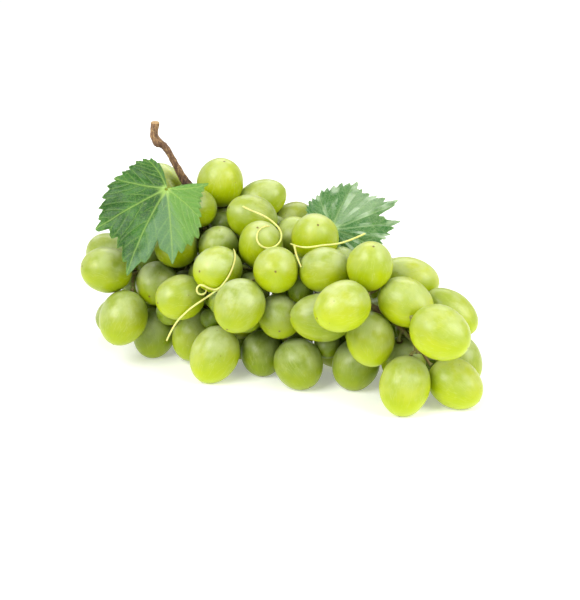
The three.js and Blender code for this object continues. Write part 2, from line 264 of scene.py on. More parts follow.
def newGroup(name, inputs, outputs):
    group = bpy.data.node_groups.new(name, "ShaderNodeTree")
    for key, kind, value in inputs:
        socket = group.interface.new_socket(key, in_out="INPUT", socket_type=kind)
        if value is not None:
            socket.default_value = value
    for key, kind in outputs:
        group.interface.new_socket(key, in_out="OUTPUT", socket_type=kind)
    return group, group.nodes.new("NodeGroupInput").outputs, group.nodes.new("NodeGroupOutput").inputs


def buildMottleGroup():
    # two tones in soft patches, with finer flecks inside them
    group, given, result = newGroup(
        "mottle",
        [("Place", "NodeSocketVector", None), ("Tone A", "NodeSocketColor", (1, 1, 1, 1)),
         ("Tone B", "NodeSocketColor", (0, 0, 0, 1)), ("Patch Scale", "NodeSocketFloat", 1.0),
         ("Fleck Scale", "NodeSocketFloat", 10.0), ("Fleck Amount", "NodeSocketFloat", 0.2)],
        [("Color", "NodeSocketColor"), ("Mask", "NodeSocketFloat")],
    )
    patches = ramp(group, noiseValue(group, given["Place"], given["Patch Scale"], 3), 0.35, 0.65)
    flecks = ramp(group, noiseValue(group, given["Place"], given["Fleck Scale"], 5, 0.65), 0.4, 0.6)
    shifted = maths(group, "MULTIPLY", maths(group, "SUBTRACT", flecks, 0.5), given["Fleck Amount"])
    mask = maths(group, "ADD", patches, shifted, clamp=True)
    group.links.new(blendColor(group, mask, given["Tone A"], given["Tone B"]), result["Color"])
    group.links.new(mask, result["Mask"])
    return group


def buildGrainGroup():
    # fine unevenness of a living surface, for the height of a bump
    group, given, result = newGroup(
        "livingGrain",
        [("Place", "NodeSocketVector", None), ("Broad Scale", "NodeSocketFloat", 1.0),
         ("Fine Scale", "NodeSocketFloat", 10.0), ("Fine Share", "NodeSocketFloat", 0.3)],
        [("Height", "NodeSocketFloat")],
    )
    broad = noiseValue(group, given["Place"], given["Broad Scale"], 2)
    fine = noiseValue(group, given["Place"], given["Fine Scale"], 4, 0.6)
    height = maths(group, "ADD", broad, maths(group, "MULTIPLY", fine, given["Fine Share"]))
    group.links.new(height, result["Height"])
    return group


def useGroup(tree, group, **values):
    node = tree.nodes.new("ShaderNodeGroup")
    node.node_tree = group
    for key, value in values.items():
        wire(tree, value, node.inputs[key.replace("_", " ")])
    return node.outputs


mottle = buildMottleGroup()
livingGrain = buildGrainGroup()
print("shader groups ready")

# Berries

berryShape = {
    "profilePoints": 44,
    "turns": 64,
    "stemDimple": 0.9 * mm,
    "dimpleRadius": 1.7 * mm,
    "scarRadius": 0.55 * mm,
    "scarHeight": 0.16 * mm,
    "egg": 0.045,
    "outOfRound": 0.018,
    "bend": 0.35 * mm,
    "lumps": 0.16 * mm,
    "lumpSize": 7 * mm,
    "swell": 0.45 * mm,  # how far a skin stands proud of its solid, so that neighbours touch
}
hollows = {
    "pitch": 2.0 * mm,  # of the grid that is searched for room
    "smallest": 5.2 * mm,
    "largest": 8.0 * mm,
    "press": 1.6 * mm,  # how deep one may sit in its neighbours
    "longer": 1.10,
    "lowest": 13 * mm,
    "front": -36 * mm,
    "top": 78 * mm,
    "ways": 60,  # looked along from each point, as far as the reach
    "reach": 45 * mm,
    "covered": 0.75,
    "keptClear": ("stem", "leaf_front", "leaf_back"),
    # berries that fill the hollows open to the side: place in millimetres, and radius
    "known": [
        (-66, 25, 27, 8.5), (-62, 27, 39, 7), (54, 7, 12, 9), (67, -12, 6.5, 6.5), (-18, 5, 8, 8),
        (-62, 22, 18, 7), (-34, 12, 22, 6.5), (1, -6, 33, 5),
    ],
}
berryLook = {
    "ripe": (0.435, 0.50, 0.0, 1),
    "green": (0.165, 0.235, 0.002, 1),
    # glow is painted light: a bright tone laid on the underside, standing in for light that comes through
    # the flesh
    "glow": (0.50, 0.62, 0.0, 1),
    "glowAmount": 0.70,
    # the bloom tone is partly painted light: it is laid on most where the berry faces up, as a painted lit
    # top
    "bloom": (0.60, 0.67, 0.38, 1),
    "vein": (0.74, 0.78, 0.30, 1),
    "speck": (0.20, 0.13, 0.03, 1),
    "scar": (0.16, 0.09, 0.03, 1),
    "subsurface": 0.55,
    "scatter": (0.9, 1.0, 0.25),
    "glowDepth": 6 * mm,
    "ior": 1.42,
    "patchScale": 0.09,  # scales are per millimetre
    "fleckScale": 0.6,
    "fleckAmount": 0.25,
    "threadScale": 2.0,
    "threadAmount": 0.10,
    "cloudScale": 0.13,
    "dustScale": 2.4,
    "bloomAmount": 0.90,
    "poreScale": 0.85,
    "poreAmount": 0.35,
    "speckScale": 0.30,
    "speckAmount": 0.75,
    "scarAmount": 0.85,
    "bump": 0.35,
    "bumpDepth": 0.35 * mm,
    "roughness": 0.34,
    "frostRoughness": 0.46,
    "coat": 0.22,
    "coatRoughness": 0.19,
    "shineLevel": 0.34,
}
ripening = {
    # 0 is green and 1 is yellow: berries ripen towards the tip and the top of the bunch
    "middle": 0.55,
    "towardsTip": 3.2,
    "upwards": 5.0,
    "level": 0.04,
    "spread": 0.12,
    "least": 0.15,
    "frost": 0.4,
    "frostSpread": 0.2,
    # painted shade: inner berries get green, bare tones so that they look darker, as berries in shade
    "inside": (0.05, 0.15),
}
berryTones = {
    # ripeness and bloom of the berries that stand out: 0 is green, or bare; 1 is yellow, or frosted
    "front_low_2": (0.85, 0.75), "front_low_3": (0.12, 0.25), "front_low_4": (0.30, 0.35),
    "front_low_5": (0.22, 0.40), "left_low_2": (0.25, 0.75), "front_low_1": (0.45, 0.55),
    "front_mid_1": (0.60, 0.35), "left_mid_2": (0.38, 0.60), "left_mid_1": (0.55, 0.35),
    "front_mid_2": (0.50, 0.60), "front_mid_3": (0.35, 0.55), "front_mid_4": (0.35, 0.45),
    "front_mid_6": (0.90, 0.50), "front_high_2": (0.75, 0.65), "front_high_3": (0.70, 0.30),
    "tip_3": (1.0, 0.20), "tip_4": (0.95, 0.35), "tip_5": (1.0, 0.10), "ridge_11": (0.9, 0.25),
    "ridge_9": (0.90, 0.40), "ridge_3": (0.85, 0.30), "inner_2": (0.3, 0.2), "inner_1": (0.3, 0.6),
}


def berryPlace(node):
    # the two ends of a berry are where most of its edges meet, and it is broader near the stem
    bm = mergedCopy(node)
    ends = sorted(bm.verts, key=lambda v: len(v.link_edges), reverse=True)[:2]

    def breadth(end):
        return sum(edge.calc_length() for edge in end.link_edges)

    stemEnd, freeEnd = sorted(ends, key=breadth, reverse=True)
    axis = freeEnd.co - stemEnd.co
    centre = (freeEnd.co + stemEnd.co) / 2
    way = axis.normalized()
    radius = max(((v.co - centre) - (v.co - centre).dot(way) * way).length for v in bm.verts)
    place = centre.copy(), way.copy(), axis.length, radius
    bm.free()
    return place


def berryProfile(bm, length, radius):
    count = berryShape["profilePoints"]
    previous = None
    for i in range(count + 1):
        angle = math.pi * i / count
        out = radius * math.sin(angle) * (1 + berryShape["egg"] * math.cos(angle))
        height = -length / 2 * math.cos(angle)
        if angle < 1:
            height += berryShape["stemDimple"] * math.exp(-((out / berryShape["dimpleRadius"]) ** 2))
        if angle > 2:
            height += berryShape["scarHeight"] * math.exp(-((out / berryShape["scarRadius"]) ** 4))
        vert = bm.verts.new((out if 0 < i < count else 0.0, 0, height))
        if previous:
            bm.edges.new((previous, vert))
        previous = vert


def buildBerry(name, place, seed, material):
    dice = random.Random(seed)
    centre, way, length, radius = place
    bm = bmesh.new()
    berryProfile(bm, length, radius / (1 + berryShape["egg"] * 0.3))
    bmesh.ops.spin(bm, geom=bm.verts[:] + bm.edges[:], cent=(0, 0, 0), axis=(0, 0, 1), dvec=(0, 0, 0),
                   angle=2 * math.pi, steps=berryShape["turns"], use_merge=True)
    bmesh.ops.remove_doubles(bm, verts=bm.verts, dist=1e-6)
    bmesh.ops.recalc_face_normals(bm, faces=bm.faces)

    # no berry is quite round: two soft flats, a slight bend and faint lumps
    flat = berryShape["outOfRound"]
    firstTurn, secondTurn = dice.uniform(0, 6), dice.uniform(0, 6)
    bend = dice.uniform(-1, 1) * berryShape["bend"]
    drift = Vector([dice.uniform(-50, 50) for _ in range(3)])
    local = []
    for v in bm.verts:
        local.append(v.co / radius)
        around = math.atan2(v.co.y, v.co.x)
        belly = 1 - (2 * v.co.z / length) ** 2
        twoSided = 0.5 * math.cos(2 * around + firstTurn)
        threeSided = 0.35 * math.cos(3 * around + secondTurn)
        squeeze = flat * (0.6 + twoSided + threeSided)
        v.co.x *= 1 - squeeze * max(belly, 0)
        v.co.y *= 1 - squeeze * max(belly, 0)
        v.co.x += bend * belly
        lump = noise.noise(v.co / berryShape["lumpSize"] + drift) - 0.4
        v.co += v.co.normalized() * lump * berryShape["lumps"]
    spin = way.to_track_quat("Z", "Y").to_matrix().to_4x4() @ Matrix.Rotation(dice.uniform(0, 6.28), 4, "Z")
    bmesh.ops.transform(bm, matrix=Matrix.Translation(centre) @ spin, verts=bm.verts)
    for v in bm.verts:
        v.co.z = max(v.co.z, 0.0)  # pressed flat where it rests

    piece = meshObject(name, bm)
    shadeSmooth(piece)
    ripe = ripening["middle"] + ripening["towardsTip"] * centre.x
    ripe += ripening["upwards"] * (centre.z - ripening["level"])
    ripe += dice.uniform(-1, 1) * ripening["spread"]
    frost = ripening["frost"] + dice.uniform(-1, 1) * ripening["frostSpread"]
    usual = min(max(ripe, ripening["least"]), 1.0), frost
    # painted shade: inner berries take the green, bare tones of berries in shade
    if "inside" in name:
        usual = ripening["inside"]
    ripe, frost = berryTones.get(name.replace("grape_", ""), usual)
    points = len(piece.data.vertices)
    setPointVectors(piece, "berryLocal", local)
    setPointVectors(piece, "berryGrain", [p * radius / mm + drift for p in local])
    # which way the skin faces, for the painted glow underneath and the painted lit top
    setPointValues(piece, "berrySky", [v.normal.z for v in piece.data.vertices])
    setPointValues(piece, "berryRipe", [ripe] * points)
    setPointValues(piece, "berryFrost", [frost] * points)
    piece.data.materials.append(material)
    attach(piece, "root")
    return piece


def berrySkin():
    material, shader = newMaterial("berrySkin")
    tree = material.node_tree
    local = tree.nodes.new("ShaderNodeSeparateXYZ")
    tree.links.new(attribute(tree, "berryLocal", "Vector"), local.inputs[0])
    grain = attribute(tree, "berryGrain", "Vector")
    ripe = attribute(tree, "berryRipe")
    frost = attribute(tree, "berryFrost")
    along = local.outputs["Z"]

    # flesh: greener towards the stem, warmer towards the free end
    ripeHere = maths(tree, "ADD", ripe, ramp(tree, along, -1.2, 1.2, -0.16, 0.14), clamp=True)
    flesh = blendColor(tree, ripeHere, berryLook["green"], berryLook["ripe"])
    deeper = blendColor(tree, 1.0, flesh, (0.80, 0.88, 0.55, 1), "MULTIPLY")
    color = useGroup(tree, mottle, Place=grain, Tone_A=flesh, Tone_B=deeper,
                     Patch_Scale=berryLook["patchScale"], Fleck_Scale=berryLook["fleckScale"],
                     Fleck_Amount=berryLook["fleckAmount"])["Color"]

    # painted glow: the skin that faces down is painted clear and bright, standing in for light that comes
    # through the flesh from above
    facingUp = attribute(tree, "berrySky")
    glowing = maths(tree, "MULTIPLY", ripeHere, berryLook["glowAmount"])
    clear = maths(tree, "MULTIPLY", ramp(tree, facingUp, 0.35, -0.55), glowing)
    color = blendColor(tree, clear, color, berryLook["glow"])

    # pale threads that run under the skin from end to end
    angle = maths(tree, "ARCTAN2", local.outputs["Y"], local.outputs["X"])
    threadPlace = tree.nodes.new("ShaderNodeCombineXYZ")
    wire(tree, maths(tree, "MULTIPLY", angle, 2.0), threadPlace.inputs["X"])
    wire(tree, maths(tree, "MULTIPLY", along, 0.5), threadPlace.inputs["Y"])
    wire(tree, maths(tree, "MULTIPLY", ripe, 30.0), threadPlace.inputs["Z"])
    thread = noiseValue(tree, threadPlace.outputs[0], berryLook["threadScale"], 2, 0.5)
    offThread = maths(tree, "ABSOLUTE", maths(tree, "SUBTRACT", thread, 0.5))
    threadMask = ramp(tree, offThread, 0.0, 0.03, 1.0, 0.0)
    awayFromEnds = ramp(tree, maths(tree, "ABSOLUTE", along), 0.6, 1.1, 1.0, 0.25)
    threadAmount = maths(tree, "MULTIPLY", awayFromEnds, berryLook["threadAmount"])
    threads = maths(tree, "MULTIPLY", threadMask, threadAmount)
    color = blendColor(tree, threads, color, berryLook["vein"])

    # waxy bloom and painted light: a pale veil, strongest where the berry faces up so that it also paints
    # the lit top of the berry, rubbed off in patches and below
    cloud = noiseValue(tree, grain, berryLook["cloudScale"], 3, 0.5)
    dust = noiseValue(tree, grain, berryLook["dustScale"], 3, 0.7)
    paintedLitTop = ramp(tree, facingUp, -0.15, 0.85)
    patchy = ramp(tree, cloud, 0.34, 0.62, 0.30, 1.0)
    dusty = ramp(tree, dust, 0.25, 0.7, 0.8, 1.0)
    frosted = ramp(tree, frost, 0.0, 1.0, 0.35, 1.0, smooth=False)
    bloomAndLitTopMask = maths(tree, "MULTIPLY", maths(tree, "MULTIPLY", paintedLitTop, patchy),
                      maths(tree, "MULTIPLY", dusty, frosted), clamp=True)
    veilAndLitTop = maths(tree, "MULTIPLY", bloomAndLitTopMask, berryLook["bloomAmount"])
    color = blendColor(tree, veilAndLitTop, color, berryLook["bloom"])

    # tiny pores all over, and a few brown rubs
    pores = voronoi(tree, grain, berryLook["poreScale"]).outputs["Distance"]
    poreMask = ramp(tree, pores, 0.05, 0.11, 1.0, 0.0)
    poreColor = maths(tree, "MULTIPLY", poreMask, berryLook["poreAmount"])
    color = blendColor(tree, poreColor, color, berryLook["vein"])
    specks = voronoi(tree, grain, berryLook["speckScale"]).outputs["Distance"]
    rare = maths(tree, "GREATER_THAN", noiseValue(tree, grain, 0.21, 1), 0.60)
    speckMask = maths(tree, "MULTIPLY", ramp(tree, specks, 0.05, 0.10, 1.0, 0.0), rare)
    speckColor = maths(tree, "MULTIPLY", speckMask, berryLook["speckAmount"])
    color = blendColor(tree, speckColor, color, berryLook["speck"])

    # brown scar at the free end, and a corky ring round the pedicel
    offAxis = maths(tree, "SQRT", maths(tree, "ADD", maths(tree, "POWER", local.outputs["X"], 2.0),
                                        maths(tree, "POWER", local.outputs["Y"], 2.0)))
    ragged = maths(tree, "MULTIPLY", maths(tree, "SUBTRACT", dust, 0.5), 0.07)
    edge = maths(tree, "ADD", offAxis, ragged)
    freeEnd = maths(tree, "GREATER_THAN", along, 0.5)
    stemEnd = maths(tree, "LESS_THAN", along, -0.5)
    scar = maths(tree, "MULTIPLY", ramp(tree, edge, 0.035, 0.065, 1.0, 0.0), freeEnd)
    ring = maths(tree, "MULTIPLY", ramp(tree, edge, 0.10, 0.19, 1.0, 0.0), stemEnd)
    ends = maths(tree, "ADD", scar, ring, clamp=True)
    endColor = maths(tree, "MULTIPLY", ends, berryLook["scarAmount"])
    color = blendColor(tree, endColor, color, berryLook["scar"])
    tree.links.new(color, shader.inputs["Base Color"])

    bare, frosty = berryLook["roughness"], berryLook["frostRoughness"]
    rough = ramp(tree, bloomAndLitTopMask, 0.0, 0.8, bare, frosty, smooth=False)
    rough = maths(tree, "ADD", rough, ramp(tree, dust, 0.3, 0.7, -0.03, 0.04), clamp=True)
    tree.links.new(rough, shader.inputs["Roughness"])
    height = useGroup(tree, livingGrain, Place=grain, Broad_Scale=0.35, Fine_Scale=2.6,
                      Fine_Share=0.16)["Height"]
    height = maths(tree, "SUBTRACT", height, maths(tree, "MULTIPLY", poreMask, 0.05))
    height = maths(tree, "ADD", height, maths(tree, "MULTIPLY", speckMask, 0.10))
    normal = bump(tree, height, berryLook["bump"], berryLook["bumpDepth"])
    tree.links.new(normal, shader.inputs["Normal"])

    shader.inputs["Subsurface Weight"].default_value = berryLook["subsurface"]
    shader.inputs["Subsurface Radius"].default_value = berryLook["scatter"]
    shader.inputs["Subsurface Scale"].default_value = berryLook["glowDepth"]
    shader.inputs["IOR"].default_value = berryLook["ior"]
    shader.inputs["Coat Weight"].default_value = berryLook["coat"]
    shader.inputs["Coat Roughness"].default_value = berryLook["coatRoughness"]
    shader.inputs["Specular IOR Level"].default_value = berryLook["shineLevel"]
    return material


def fillHollows(places):
    # small inner berries: first those with a known place, then the largest that fits, again and again
    smallest, press = hollows["smallest"], hollows["press"]
    low, high = cadBox
    steps = [np.arange(low[i], high[i], hollows["pitch"]) for i in range(3)]
    grid = np.stack(np.meshgrid(*steps, indexing="ij"), -1).reshape(-1, 3)
    grid = grid[(grid[:, 2] > hollows["lowest"]) & (grid[:, 2] < hollows["top"])]
    grid = grid[grid[:, 1] > hollows["front"]]
    room = grid[:, 2].copy()
    for place in places:
        room = np.minimum(room, roomBeside(grid, place) + press)
    grid, room = grid[room > smallest], room[room > smallest]
    room = np.where(coveredShare(grid, places) < hollows["covered"], 0, room)
    grid, room = grid[room > smallest], room[room > smallest]

    solid = nearestPoints([frame["nodes"][name].data.vertices for name in hollows["keptClear"]])
    for index, point in enumerate(grid):
        room[index] = min(room[index], solid.find(point)[2])

    known = [(Vector(row[:3]) * mm, row[3] * mm) for row in hollows["known"]]
    stemTree = nearestPoints([frame["nodes"]["stem"].data.vertices])
    found = []
    while known or room.max() > smallest:
        if known:
            centre, radius = known.pop()
        else:
            best = int(room.argmax())
            centre, radius = Vector(grid[best]), min(room[best], hollows["largest"])
        away = centre - stemTree.find(centre)[0]  # the free end points away from the stem
        place = centre, away.normalized(), 2 * radius * hollows["longer"], radius
        found.append(place)
        room = np.minimum(room, roomBeside(grid, place) + press)
    return found


def nearestPoints(bodies):
    tree = KDTree(sum(len(body) for body in bodies))
    for index, vert in enumerate(vert for body in bodies for vert in body):
        tree.insert(vert.co, index)
    tree.balance()
    return tree


def roomBeside(points, place):
    # how far each point is from the skin of a berry
    centre, way, length, radius = place
    off = points - np.array(centre)
    along = off @ np.array(way)
    far = np.linalg.norm(off, axis=1)
    across = np.sqrt(np.maximum(far ** 2 - along ** 2, 0))
    depth = np.sqrt((2 * along / length) ** 2 + (across / radius) ** 2)
    return far * (1 - 1 / np.maximum(depth, 1e-6))


def coveredShare(points, places):
    # the share of the ways out of each point that meet another berry, or the floor below
    spiral = math.pi * (3 - math.sqrt(5))
    centres = np.array([place[0] for place in places])[None] - points[:, None]
    radii = np.array([place[3] for place in places])
    squares = (centres ** 2).sum(2)
    count = hollows["ways"]
    hits = np.zeros(len(points))
    for i in range(count):
        z = 1 - (2 * i + 1) / count
        around = i * spiral
        flat = math.sqrt(1 - z * z)
        ahead = centres @ np.array([flat * math.cos(around), flat * math.sin(around), z])
        met = (ahead > 0) & (ahead < hollows["reach"]) & (squares - ahead ** 2 < radii ** 2)
        hits += met.any(1) | (z < -0.5)
    return hits / count


def buildBerries():
    material = berrySkin()
    nodes = sorted(name for name in frame["nodes"] if name.startswith("berry_"))
    places = []
    for number, node in enumerate(nodes):
        centre, way, length, radius = berryPlace(node)
        place = centre, way, length + 2 * berryShape["swell"], radius + berryShape["swell"]
        places.append(place)
        piece = buildBerry(node.replace("berry_", "grape_"), place, number, material)
        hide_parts(node)
    print("berries:", len(nodes))
    inner = fillHollows(places)
    for number, place in enumerate(inner):
        buildBerry("grape_inside_%d" % (number + 1), place, 100 + number, material)
    print("small berries inside:", len(inner))


# Leaves

leafBuild = {
    "columns": 400,
    "rings": 88,
    "toothLean": 1.45,
    "fineToothDepth": 0.012,
    "hub": 0.03,
    "thickness": 0.42,
    "mainVein": 0.50,
    "sideVein": 0.26,
    "sink": 0.22,
    "pleatSpan": 5.5,
}
leafPlans = {
    # millimetres and degrees; the outline is angles from the midrib with the reach of the blade there
    "leaf_front": {
        "joint": (-55, 11, 79.5), "facing": (-0.12, -0.72, 0.68), "turn": -24,
        "outline": [
            (-129, 8), (-124, 19), (-114, 16.5), (-98, 16), (-82, 18), (-70, 21), (-58, 26), (-48, 28),
            (-35, 31), (-28, 34.5), (-20, 29), (-14, 26.5), (-11, 33), (-6, 38), (0, 45), (6, 39),
            (13, 35.5), (22, 33.5), (32, 34), (38, 38.5), (44, 34), (55, 32.5), (68, 29.5), (80, 26.5),
            (92, 24), (102, 22.5), (116, 20.5), (129, 18.5), (139, 14), (146, 8),
        ],
        "foldBack": 0.22, "droop": 4, "pleats": 0.7, "vFold": 0.9, "teeth": 29, "toothDepth": 0.075,
        "fan": 11, "fanDepth": 0.25, "quilt": 0.15, "sideVeins": 5,
        "veins": (-122, -72, -28, 0, 38, 82, 124),
    },
    "leaf_back": {
        "joint": (19, 14, 59), "facing": (0.05, -0.62, 0.78), "turn": 118,
        "outline": [
            (-134, 8), (-122, 13), (-110, 16), (-96, 19.5), (-82, 21), (-72, 23.5), (-62, 26.5), (-54, 28),
            (-44, 29.5), (-39, 32.5), (-32, 27.5), (-26, 28.5), (-15, 30), (-6, 32.5), (0, 37), (4, 30),
            (8, 25), (12, 27), (16, 33), (24, 29), (33, 26.5), (44, 24.5), (68, 22), (90, 19), (110, 15),
            (128, 9),
        ],
        "foldBack": 0.12, "droop": 2, "pleats": 0.6, "vFold": 0.6, "teeth": 37, "toothDepth": 0.085,
        "fan": 19, "fanDepth": 0.75, "quilt": 0.25, "sideVeins": 5,
        "veins": (-118, -78, -39, 0, 16, 52, 98),
    },
}


def leafAxes(plan):
    facing = Vector(plan["facing"]).normalized()
    across = (Vector((1, 0, 0)) - facing.x * facing).normalized()
    down = across.cross(facing)
    turn = math.radians(plan["turn"])
    midrib = across * math.sin(turn) + down * math.cos(turn)
    return facing, midrib, midrib.cross(facing)


def toothNotch(x, angles):
    # 0 at the tip of each tooth and 1 at its foot; teeth lean towards the end of their lobe
    phase = np.mod(x, 2)
    phase = np.where(angles > 0, 2 - phase, phase)
    lean = leafBuild["toothLean"]
    return np.where(phase < lean, 1 - phase / lean, (phase - lean) / (2 - lean)) ** 1.2


def veinDistances(plan, flat, angles):
    # how near each point is to a main vein and to a side vein of the main vein nearest to it
    veins = np.radians(plan["veins"])
    nearest = np.argmin(np.abs(angles[:, None] - veins[None, :]), axis=1)
    main = np.full(len(flat), 99.0)
    side = np.full(len(flat), 99.0)
    for index, angle in enumerate(veins):
        mine = nearest == index
        reach = np.interp(math.degrees(angle), *zip(*plan["outline"]))
        way = np.array([math.cos(angle), math.sin(angle)])
        turned = np.array([-way[1], way[0]])
        bow = 1.2 * math.sin(3 * angle + 1)  # no vein is quite straight
        lengthways = flat @ way
        bowed = flat @ turned - bow * np.sin(np.clip(lengthways / reach, 0, 1) * math.pi)
        main = np.minimum(main, np.where(lengthways > 0, np.abs(bowed), np.hypot(lengthways, bowed)))
        for hand in (-1, 1):
            for step in range(plan["sideVeins"]):
                start = reach * (0.13 + 0.17 * step + (0.07 if hand > 0 else 0))
                slant = math.radians(44 - 2 * step)
                along = lengthways - start
                out = bowed * hand
                ahead = along * math.cos(slant) + out * math.sin(slant)
                off = -along * math.sin(slant) + out * math.cos(slant) + 0.012 * ahead ** 2
                hit = np.where((ahead > 0) & mine & (out > 0), np.abs(off), 99.0)
                side = np.minimum(side, hit)
    return main, side


def leafSurface(name):
    plan = leafPlans[name]
    facing, midrib, left = leafAxes(plan)
    columns, rings = leafBuild["columns"], leafBuild["rings"]
    u, v = np.meshgrid(np.linspace(0, 1, columns + 1), np.linspace(0, 1, rings + 1))
    u, v = u.ravel(), v.ravel()
    first, last = plan["outline"][0][0], plan["outline"][-1][0]
    degrees = first + (last - first) * u
    share = np.maximum(v, leafBuild["hub"])
    angles = np.radians(degrees)
    teeth = plan["toothDepth"] * toothNotch(u * plan["teeth"] * 2, angles)
    teeth += leafBuild["fineToothDepth"] * toothNotch(u * plan["teeth"] * 5, angles)
    reach = np.interp(degrees, *zip(*plan["outline"]))
    far = reach * share * (1 - teeth * share ** 3)
    flat = np.stack([far * np.cos(angles), far * np.sin(angles)], 1)
    lift = plan["pleats"] * (far / 30) * np.cos(angles * 9) - plan["droop"] * (far / 40) ** 2
    lift += np.where(flat[:, 1] < 0, plan["foldBack"] * flat[:, 1], 0)
    main, side = veinDistances(plan, flat, angles)
    mainMask = np.exp(-(main / (leafBuild["mainVein"] * (1.15 - 0.75 * share))) ** 2)
    sideMask = np.exp(-(side / leafBuild["sideVein"]) ** 2)
    between = 1 - np.exp(-np.minimum(main, side * 1.3) / 1.6)
    ridge = np.minimum(main, leafBuild["pleatSpan"]) / leafBuild["pleatSpan"]
    grown = np.clip(share * 3, 0, 1) * np.clip((1 - share) * 9 + 0.3, 0, 1)
    relief = plan["quilt"] * between * grown - leafBuild["sink"] * np.maximum(mainMask, 0.6 * sideMask)
    fan = plan["fan"] * angles + 0.7 * np.sin(3 * angles)
    relief += plan["fanDepth"] * share * np.arcsin(np.sin(fan)) * 2 / math.pi
    ripple = np.array([noise.noise(Vector((x * 0.16, y * 0.16, 3.0))) for x, y in flat])
    height = lift + relief + plan["vFold"] * ridge * grown + 0.8 * ripple * share
    points = (np.array(plan["joint"]) + flat[:, :1] * np.array(midrib)
              + flat[:, 1:] * np.array(left) + height[:, None] * np.array(facing))
    masks = {"leafVein": np.maximum(mainMask, 0.38 * sideMask), "leafShare": share,
             "leafTurn": angles, "leafFan": np.tanh(2.5 * np.cos(fan))}
    return points, flat, masks


def buildLeaf(name, material):
    columns, rings = leafBuild["columns"], leafBuild["rings"]
    points, flat, masks = leafSurface(name)
    # the plan is in its own millimetres: the frame's box says where the leaf really is
    low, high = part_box(name)
    shift = (np.array(low) + np.array(high)) / 2 - (points.min(0) + points.max(0)) / 2 * mm
    bm = bmesh.new()
    bmesh.ops.create_grid(bm, x_segments=columns, y_segments=rings, size=0.5)
    bm.verts.ensure_lookup_table()
    order = []
    layers = {key: bm.verts.layers.float.new(key) for key in (*masks, "leafUnder")}
    flatLayer = bm.verts.layers.float_vector.new("leafFlat")
    for v in bm.verts:
        column = round((v.co.x + 0.5) * columns)
        ring = round((v.co.y + 0.5) * rings)
        index = ring * (columns + 1) + column
        order.append(index)
        for key, values in masks.items():
            v[layers[key]] = values[index]
        v[flatLayer] = (flat[index][0], flat[index][1], 0)
    for v, index in zip(bm.verts, order):
        v.co = points[index] * mm + shift
    top = set(bm.verts)
    bmesh.ops.recalc_face_normals(bm, faces=bm.faces)
    facing = leafAxes(leafPlans[name])[0]
    if sum(face.normal.dot(facing) for face in bm.faces) < 0:
        bmesh.ops.reverse_faces(bm, faces=bm.faces)
    bmesh.ops.solidify(bm, geom=bm.faces, thickness=leafBuild["thickness"] * mm)
    for v in bm.verts:
        if v not in top:
            v[layers["leafUnder"]] = 1.0
    piece = meshObject(name.replace("leaf_", "vineLeaf_"), bm)
    shadeSmooth(piece)
    setIn(piece, material, "leaf", name)
    return piece


